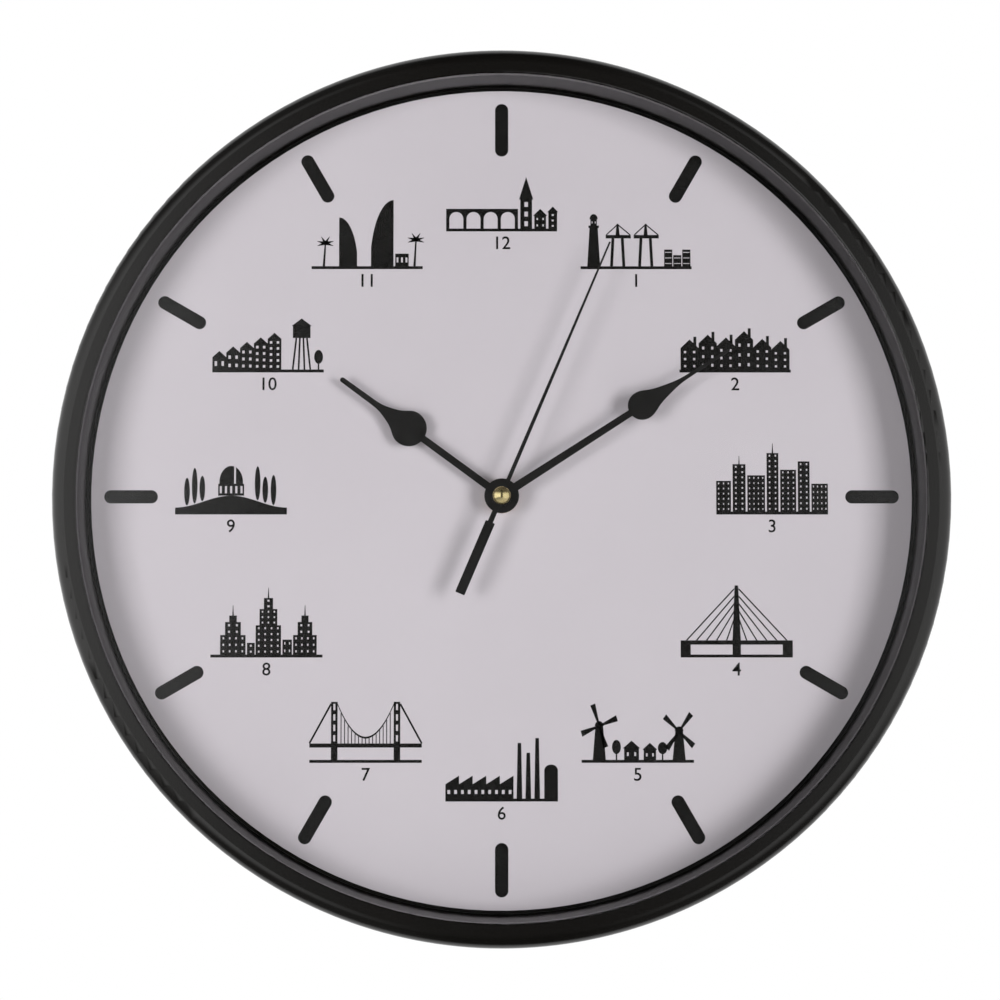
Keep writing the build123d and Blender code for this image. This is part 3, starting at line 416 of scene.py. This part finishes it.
def set_back_towers():
    """Three stepped towers with a low row between them."""
    tall = ((1.0, 9.0, 4, 5), (0.7, 5.0, 3, 3), (0.36, 3.4, 1, 2))
    short = ((1.0, 6.0, 4, 3), (0.62, 4.0, 2, 2), (0.3, 2.0, 0, 0))
    shapes = stepped(-11.4, 8.6, short) + stepped(0.6, 8.6, tall) + stepped(13.0, 8.0, short)
    return shapes + [block(-6.6, 2.6, 0, 3.6, 1, 2), block(5.4, 3.2, 0, 4.6, 2, 2)]


def observatory():
    """A domed observatory on a low hill, with poplars on both sides."""
    across = np.linspace(-ground_half, ground_half, 61)
    shapes = [strip(across, 0, 1.0 + 3.0 * np.cos(across / ground_half * pi / 2) ** 2)]
    shapes.append(block(-4.4, 8.8, 4.0, 7.0, 5, 1, (0.4, 0.6)))
    for left, right in ((-4.0, 1.0), (1.6, 4.0)):
        across = np.linspace(left, right, 21)
        shapes.append(strip(across, 7.0, 7.3 + 4.2 * np.sqrt(1 - (across / 4.05) ** 2)))
    for x, tall in ((-15, 7.0), (-12.4, 9.0), (-9.8, 6.4), (9.0, 8.6), (11.6, 6.6), (14.4, 7.6)):
        shapes.append(oval(x, 1.9, 1.2 + 3.0 * cos(x / ground_half * pi / 2) ** 2, tall))
    return shapes


def hill_village():
    """Houses that climb a hill, and a water tower on four legs."""
    shapes = []
    for k in range(5):
        left = 4.7 * k - ground_half
        foot = 1.3 * k
        shapes += [block(left, 4.7, 0, foot + 3.4, 2, k + 1, (0.35, 0.4)), roof(left, 4.7, foot + 3.4, 1.9)]
    shapes += [member((x, 0), (11.4 + (x - 11.4) * 0.6, 9.0), 0.6, 0.6) for x in (8.4, 10.4, 12.4, 14.4)]
    return shapes + [block(8.4, 6.0, 9.0, 12.4), roof(8.1, 6.6, 12.4, 2.2), *round_tree(17.2, 3.0, 5.6)]


def sail_towers():
    """Two towers with a curved back, a low hall and palms."""
    shapes = []
    for left, width, top, hand in ((-9.6, 6.4, 14.0, 1), (1.0, 8.0, 19.0, -1)):
        share = np.linspace(0, 0.96, 25)
        x = left + (share if hand > 0 else 1 - share) * width
        order = np.argsort(x)
        shapes.append(strip(x[order], 0, (top * np.sqrt(1 - share ** 2))[order]))
    shapes.append(block(9.6, 4.6, 0, 3.6, 3, 1, (0.4, 0.4)))
    for x, tall in ((-14.8, 6.6), (16.2, 7.6)):
        shapes.append(member((x, 0), (x + 0.5, tall), 0.8, 0.5))
        for angle in (15, 60, 120, 165, 200, -20):
            tip = np.array([cos(radians(angle)), 0.75 * sin(radians(angle))]) * 2.9
            shapes.append(member((x + 0.5, tall), tip + (x + 0.5, tall), 1.0, 0.12))
    return shapes


skylines = [(viaduct_town, 1.0), (harbour, 1.2), (terrace, 1.2), (slab_towers, 0.95), (stayed_bridge, 1.2),
            (mills, 1.2), (works, 1.1), (hung_bridge, 1.15), (set_back_towers, 1.1), (observatory, 1.35),
            (hill_village, 1.2), (sail_towers, 1.2)]
ring_across = 92.0
ring_up = 97.0
ground_drop = 5.0
ground_line = 1.0
for hour, (skyline, rise) in enumerate(skylines):
    angle = radians(30 * hour)
    shapes = [(x, z * rise, printed) for x, z, printed in skyline()]
    shapes.append(block(-ground_half, 2 * ground_half, -ground_line, 0))
    place = (ring_across * sin(angle), ring_up * cos(angle) - ground_drop)
    put_piece(f"skyline_{hour or 12:02d}", on_dial(shapes, *place), printing_ink, "case")

bar_length = 18.2
bar_width = 4.5
bar_radius = 126.0
turn = np.linspace(0.05, pi - 0.05, 49)
end = np.where(turn < pi / 2, 1, -1) * (bar_length - bar_width) / 2
reach = bar_radius + end + bar_width / 2 * np.cos(turn)
half = bar_width / 2 * np.sin(turn)
bars = []
for hour in range(12):
    across, up = sin(radians(30 * hour)), cos(radians(30 * hour))
    x = np.stack([reach * across - half * up, reach * across + half * up])
    z = np.stack([reach * up + half * across, reach * up - half * across])
    bars.append((x, z, None))
put_piece("hour_bars", on_dial(bars), printing_ink, "case")

figure_height = 4.4
figure_gap = 1.7


def figures(hour):
    """The hour in plain figures, drawn as a flat curve, made a mesh and stood on the dial."""
    text = bpy.data.curves.new("figures", "FONT")
    text.body = str(hour)
    text.align_x = "CENTER"
    text.extrude = 0.5
    text.offset = 0.008
    drawn = bpy.data.objects.new("figures", text)
    mesh = bpy.data.meshes.new_from_object(drawn)
    mesh.calc_loop_triangles()
    corners = np.empty(3 * len(mesh.vertices))
    mesh.vertices.foreach_get("co", corners)
    corners = corners.reshape(-1, 3)
    faces = np.empty(3 * len(mesh.loop_triangles), int)
    mesh.loop_triangles.foreach_get("vertices", faces)
    bpy.data.objects.remove(drawn)
    bpy.data.curves.remove(text)
    bpy.data.meshes.remove(mesh)
    scale = figure_height / np.ptp(corners[:, 1])
    angle = radians(30 * hour)
    x = corners[:, 0] * scale + ring_across * sin(angle)
    top = ring_up * cos(angle) - ground_drop - ground_line - figure_gap
    z = top + (corners[:, 1] - corners[:, 1].max()) * scale
    height = dial_face + ink_film / 2 + ink_film * corners[:, 2]
    return np.stack([x, -height, z], -1), faces.reshape(-1, 3)


put_piece("hour_figures", [figures(hour) for hour in range(1, 13)], printing_ink, "case")

# Movement cases. Two shells of dark grey styrene, snapped together round the works, with the cell bay open
# at the back. The signs for the cell's ends and the arrow for the knob are raised in the moulding.
movement_tones = ((0.017, 0.017, 0.018), (0.025, 0.025, 0.026))
movement_grey = finish("movement_grey", movement_tones, (0.42, 0.58), 1100, 35, 0.015 * mm)
dress(movement_grey, "movement_rear_case", "movement_front_case")
movement_rear = -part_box("movement_rear_case")[1].y / mm
mark_rise = 0.3
bay_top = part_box("battery_cell")[1].z / mm
knob_low, knob_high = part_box("set_knob")
knob_x, knob_z = (knob_low.x + knob_high.x) / 2 / mm, (knob_low.z + knob_high.z) / 2 / mm


def rear_arrow(radius, wide):
    """An arc over the knob that ends in an arrow head: a band round a centre, its width set by the angle."""
    turn = np.radians([150, 140, 130, 120, 110, 100, 90, 80, 70, 60, 50, 40, 39.9, 22])
    half = np.full(len(turn), wide / 2)
    half[-2:] = wide * 1.7, wide * 0.1
    away = radius + np.stack([-half, half])
    return knob_x + away * np.cos(turn), knob_z + away * np.sin(turn), None


def sign(x, upright):
    """A plus or a minus sign on a lattice of three by three cells."""
    edges = np.array([-2.0, -0.45, 0.45, 2.0])
    across, up = np.meshgrid(x + edges, bay_top + 4.0 + edges)
    proud = np.zeros((3, 3), bool)
    proud[1, :] = True
    proud[:, 1] |= upright
    return across, up, proud


mark_top = movement_rear - mark_rise
marks = [rear_arrow(7.6, 0.9), sign(21.0, True), sign(-21.0, False)]
raised_marks = [film(across, up, mark_top, movement_rear, proud) for across, up, proud in marks]
put_piece("moulded_marks", raised_marks, movement_grey, "case")


# Centre fixing. A brass bush with a thread, a hexagon nut and a washer hold the movement to the dial, with a
# rubber ring behind it. The hour collet and the minute tube are turned from the same brass.
def build_rings():
    """Turning marks: a sine of the distance from the hand axis, from 0 to 1, with a pitch in millimetres."""
    tree, given, made = new_group("turned_rings", {"Pitch": 0.2}, ("Ring",))
    place = add_node(tree, "TexCoord").outputs["Object"]
    flat = add_node(tree, "VectorMath", {0: place, 1: (1000.0, 0.0, 1000.0)}, operation="MULTIPLY")
    away = add_node(tree, "VectorMath", {0: flat.outputs["Vector"]}, operation="LENGTH")
    count = add_node(tree, "Math", {0: away.outputs["Value"], 1: given.outputs["Pitch"]}, operation="DIVIDE")
    angle = add_node(tree, "Math", {0: count.outputs["Value"], 1: 2 * pi}, operation="MULTIPLY")
    wave = add_node(tree, "Math", {0: angle.outputs["Value"]}, operation="SINE")
    even = add_node(tree, "MapRange", {"Value": wave.outputs["Value"], "From Min": -1.0, "From Max": 1.0})
    tree.links.new(even.outputs["Result"], made.inputs["Ring"])
    return tree


turned_rings = build_rings()


def turned(name, tones, gloss, pitch, depth):
    """A metal turned on the hand axis: the bump follows the turning marks, tone and roughness the grain."""
    material = finish(name, tones, gloss, 2000, 300, depth, Metallic=1.0)
    tree = material.node_tree
    rings = add_node(tree, "Group", node_tree=turned_rings)
    rings.inputs["Pitch"].default_value = pitch
    bump = tree.nodes["Bump"]
    tree.links.new(rings.outputs["Ring"], bump.inputs["Height"])
    return material


brass_tones = ((0.72, 0.50, 0.20), (0.80, 0.58, 0.26))
turned_brass = turned("turned_brass", brass_tones, (0.22, 0.36), 0.18, 0.004 * mm)
dress(turned_brass, "threaded_bush", "hex_nut", "dial_washer", "hour_collet", "minute_tube")
rubber_tones = ((0.010, 0.010, 0.010), (0.017, 0.017, 0.016))
dress(finish("washer_rubber", rubber_tones, (0.70, 0.88), 1600, 120, 0.03 * mm), "rubber_washer")

# Circuit board. A strip of glass fibre board under green solder mask, with the chip under a drop of black
# resin and the watch crystal in its bright can.
board_tones = ((0.010, 0.085, 0.035), (0.016, 0.13, 0.055))
dress(finish("solder_mask", board_tones, (0.22, 0.36), 900, 500, 0.02 * mm), "circuit_board")
resin_tones = ((0.008, 0.008, 0.009), (0.014, 0.014, 0.015))
dress(finish("chip_resin", resin_tones, (0.12, 0.30), 500, 200, 0.03 * mm), "chip_drop")
can_tones = ((0.55, 0.54, 0.50), (0.68, 0.66, 0.60))
dress(finish("crystal_can", can_tones, (0.18, 0.30), 2600, 250, 0.003 * mm, Metallic=1.0), "quartz_crystal")

# Stepping motor. A stator and a core of annealed soft iron, joined by two screws, and a coil of enamelled
# copper wire on a moulded bobbin. The wire lies in even turns, side by side between the two flanges.
iron_tones = ((0.20, 0.20, 0.205), (0.30, 0.295, 0.29))
annealed_iron = finish("annealed_iron", iron_tones, (0.34, 0.52), 1800, 140, 0.006 * mm, Metallic=1.0)
dress(annealed_iron, "stator", "coil_core")
wire_tones = ((0.42, 0.14, 0.055), (0.56, 0.20, 0.08))
enamelled_wire = finish("enamelled_wire", wire_tones, (0.18, 0.30), 3000, 400, 0.003 * mm, Metallic=1.0)
magnet_tones = ((0.11, 0.11, 0.115), (0.17, 0.17, 0.175))
sintered_magnet = finish("sintered_magnet", magnet_tones, (0.36, 0.55), 2600, 300, 0.006 * mm, Metallic=1.0)
dress(sintered_magnet, "rotor_magnet")
wire_turns = 76
coil_barrel = 2.1


def wound_wire(left, right, height, middle, barrel, outer, turns):
    """A winding round an axis along X: the outer radius falls by a half wire between turns, as the size of a
    sine of the place along the axis less one turn per round, and both ends run in to the barrel."""
    wire = (right - left) / turns
    along = np.concatenate([[left], np.linspace(left, right, 6 * turns + 1), [right]])
    round_angle = np.linspace(0, 2 * pi, 40, endpoint=False)
    u, v = np.meshgrid(along, round_angle, indexing="ij")
    radius = outer - wire / 2 * (1 - np.abs(np.sin(pi * (u - left) / wire - v / 2)))
    radius[[0, -1]] = barrel
    corners = np.stack([u, -height + radius * np.cos(v), middle + radius * np.sin(v)], -1).reshape(-1, 3)
    number = np.arange(u.size).reshape(u.shape)
    after = np.roll(number, -1, axis=1)
    beside, both = np.roll(number, -1, axis=0), np.roll(after, -1, axis=0)
    return corners, np.stack([number, after, both, beside], -1).reshape(-1, 4)


coil_low, coil_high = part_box("coil_winding")
coil_ends = coil_low.x / mm, coil_high.x / mm
coil_height = -(coil_low.y + coil_high.y) / 2 / mm
coil_middle = (coil_low.z + coil_high.z) / 2 / mm
coil_radius = (coil_high.z - coil_low.z) / 2 / mm
coil_wire = wound_wire(*coil_ends, coil_height, coil_middle, coil_barrel, coil_radius, wire_turns)
winding = put_piece("coil_wire", [coil_wire], enamelled_wire, "case")
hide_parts("coil_winding")

# Wheels, bobbin and knob. Natural acetal from small moulds, slightly milky, with a waxy sheen; the setting
# knob that pushes through the back is the same plastic in dark grey.
acetal_tones = ((0.60, 0.58, 0.52), (0.68, 0.66, 0.60))
acetal = finish("natural_acetal", acetal_tones, (0.32, 0.46), 1500, 120, 0.008 * mm)
dress(acetal, "rotor_pinion", "intermediate_wheel", "seconds_wheel", "third_wheel", "centre_wheel")
dress(acetal, "reversing_wheel", "hour_wheel", "coil_bobbin")
knob_tones = ((0.024, 0.024, 0.025), (0.034, 0.034, 0.035))
dress(finish("knob_grey", knob_tones, (0.36, 0.50), 1300, 80, 0.015 * mm), "set_knob")


# Cell. One R6 cell in a plain printed jacket: dark body, one pale band by the raised end, and bare steel at
# both ends. The jacket is a foil sleeve with a satin lacquer.
def build_jacket():
    """Bands along the cell: colour and metal by the place on X, with the mottling as faint wear."""
    material = finish("cell_jacket", ((0.0, 0.0, 0.0), (1.0, 1.0, 1.0)), (0.30, 0.42), 900, 60, 0.002 * mm)
    tree = material.node_tree
    surface = tree.nodes["Principled BSDF"]
    place = add_node(tree, "TexCoord").outputs["Object"]
    along = add_node(tree, "SeparateXYZ", {"Vector": place}).outputs["X"]
    low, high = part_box("battery_cell")
    share = add_node(tree, "MapRange", {"Value": along, "From Min": low.x, "From Max": high.x})
    bands = add_node(tree, "ValToRGB", {"Fac": share.outputs["Result"]})
    bands.color_ramp.interpolation = "CONSTANT"
    steel, body, pale = (0.56, 0.56, 0.55, 1.0), (0.035, 0.060, 0.085, 1.0), (0.60, 0.62, 0.60, 1.0)
    bands.color_ramp.elements[0].color = steel
    for position, colour in ((0.025, body), (0.74, pale), (0.79, body), (0.94, steel)):
        bands.color_ramp.elements.new(position).color = colour
    bands.color_ramp.elements.remove(bands.color_ramp.elements[-1])
    bare = add_node(tree, "ValToRGB", {"Fac": share.outputs["Result"]})
    bare.color_ramp.interpolation = "CONSTANT"
    bare.color_ramp.elements[0].color = (1.0, 1.0, 1.0, 1.0)
    for position, level in ((0.025, 0.0), (0.94, 1.0)):
        bare.color_ramp.elements.new(position).color = (level, level, level, 1.0)
    bare.color_ramp.elements.remove(bare.color_ramp.elements[-1])
    grain = tree.nodes["Group"]
    wear = add_node(tree, "MapRange", {"Value": grain.outputs["Mottle"], "To Min": 0.9, "To Max": 1.0})
    worn = add_node(tree, "VectorMath", {0: bands.outputs["Color"]}, operation="SCALE")
    tree.links.new(wear.outputs["Result"], worn.inputs["Scale"])
    tree.links.new(worn.outputs["Vector"], surface.inputs["Base Color"])
    tree.links.new(bare.outputs["Color"], surface.inputs["Metallic"])
    tree.nodes.remove(tree.nodes["Color Ramp"])
    return material


dress(build_jacket(), "battery_cell")

# Hands. Three thin aluminium stampings painted satin black: hour and minute hands that swell in the middle,
# and a slim second hand with a bar at its tail. A domed brass cap finishes the second hand's hub.
hand_tones = ((0.0040, 0.0036, 0.0034), (0.0056, 0.0051, 0.0048))
hand_black = finish("hand_black", hand_tones, (0.30, 0.37), 2400, 70, 0.002 * mm)
dress(hand_black, "hour_hand", "minute_hand", "second_hand")
cap_tones = ((0.66, 0.55, 0.27), (0.74, 0.62, 0.33))
dress(turned("polished_brass", cap_tones, (0.13, 0.19), 0.12, 0.0006 * mm), "second_hand_cap")

# Stage. A pale floor well below the clock, a near softbox on its left, a far one on its right and one behind
# it. The studio is white behind the clock and along both sides, and dim elsewhere.
scene = bpy.context.scene
scene.view_settings.view_transform = "Standard"
white = (1.0, 1.0, 1.0, 1.0)
floor_level = -0.8
floor_glow = 0.86
floor_tones = ((0.66, 0.66, 0.66), (0.70, 0.70, 0.70))
floor_paper = finish("floor_paper", floor_tones, (0.80, 0.92), 300, 3, 0.05 * mm, Emission_Color=white)
paper = floor_paper.node_tree
seen = add_node(paper, "LightPath").outputs["Is Camera Ray"]
glow = add_node(paper, "Math", {0: seen, 1: floor_glow}, operation="MULTIPLY").outputs["Value"]
paper.links.new(glow, paper.nodes["Principled BSDF"].inputs["Emission Strength"])
floor_mesh = bpy.data.meshes.new("studio_floor")
floor_corners = [(x, y, floor_level) for x, y in ((-1.8, -2.2), (1.8, -2.2), (1.8, 1.4), (-1.8, 1.4))]
floor_mesh.from_pydata(floor_corners, [], [(0, 1, 2, 3)])
floor_mesh.materials.append(floor_paper)
studio_floor = bpy.data.objects.new("studio_floor", floor_mesh)
scene.collection.objects.link(studio_floor)
studio_floor.visible_glossy = False


def softbox(name, place, power, size):
    """A rectangular lamp that faces the middle of the clock. Glossy skins mirror the walls in its place."""
    lamp = bpy.data.lights.new(name, "AREA")
    lamp.shape = "RECTANGLE"
    lamp.size, lamp.size_y = size
    lamp.energy = power
    stand = bpy.data.objects.new(name, lamp)
    stand.location = place
    stand.visible_glossy = stand.visible_transmission = False
    stand.rotation_euler = (Vector((0.0, -0.02, 0.0)) - Vector(place)).to_track_quat("-Z", "Y").to_euler()
    scene.collection.objects.link(stand)


softbox("softbox_left", (-0.62, -0.84, -0.05), 5.4, (0.41, 0.53))
softbox("softbox_right", (1.50, -1.87, -0.05), 35.0, (0.86, 1.22))
softbox("softbox_rear", (-0.55, 1.10, 0.60), 24.0, (0.70, 0.70))

world = bpy.data.worlds.new("studio")
scene.world = world
world.use_nodes = True
world.cycles.sampling_method = "NONE"
studio = world.node_tree
ray = add_node(studio, "LightPath").outputs
mirrored = {0: ray["Is Glossy Ray"], 1: ray["Is Transmission Ray"]}
by_mirror = add_node(studio, "Math", mirrored, operation="MAXIMUM").outputs["Value"]
direction = add_node(studio, "TexCoord").outputs["Generated"]
heading = add_node(studio, "SeparateXYZ", {"Vector": direction}).outputs


def white_wall(along, start, full, bright, dim=0.03):
    """A wall of the studio: dim up to one part of a direction's length along an axis, then bright."""
    limits = {"From Min": start, "From Max": full, "To Min": dim, "To Max": bright}
    return add_node(studio, "MapRange", {"Value": along, **limits}).outputs["Result"]


back_wall = white_wall(heading["Y"], -0.05, 0.15, 1.0)
left_wall = white_wall(heading["X"], -0.11, -0.205, 1.35)
right_wall = white_wall(heading["X"], 0.145, 0.22, 1.0)
slope = add_node(studio, "Math", {0: heading["Z"]}, operation="ABSOLUTE").outputs["Value"]
wall_ends = white_wall(slope, 0.60, 0.25, 1.0, 0.1)
either_side = add_node(studio, "Math", {0: left_wall, 1: right_wall}, operation="MAXIMUM").outputs["Value"]
side_walls = add_node(studio, "Math", {0: either_side, 1: wall_ends}, operation="MULTIPLY").outputs["Value"]
walls = add_node(studio, "Math", {0: side_walls, 1: back_wall}, operation="MAXIMUM").outputs["Value"]
soft_fill = white_wall(heading["Y"], -0.05, 0.15, 0.35, 0.02)
ambient = add_node(studio, "Mix", {0: by_mirror, 2: soft_fill, 3: walls}, data_type="FLOAT").outputs[0]
level = add_node(studio, "Mix", {0: ray["Is Camera Ray"], 2: ambient, 3: 1.0}, data_type="FLOAT").outputs[0]
room = studio.nodes["Background"]
studio.links.new(level, room.inputs["Strength"])
room.inputs["Color"].default_value = white

camera = bpy.data.cameras.new("photo_camera")
camera.lens = 76.28
camera.sensor_width = 36.0
camera.sensor_fit = "HORIZONTAL"
viewer = bpy.data.objects.new("photo_camera", camera)
viewer.location = Vector((-1.88, -742.65, -38.92)) * mm
aim = Vector((-0.56, -22.65, -1.05)) * mm
viewer.rotation_euler = (aim - viewer.location).to_track_quat("-Z", "Y").to_euler()
scene.collection.objects.link(viewer)
scene.camera = viewer
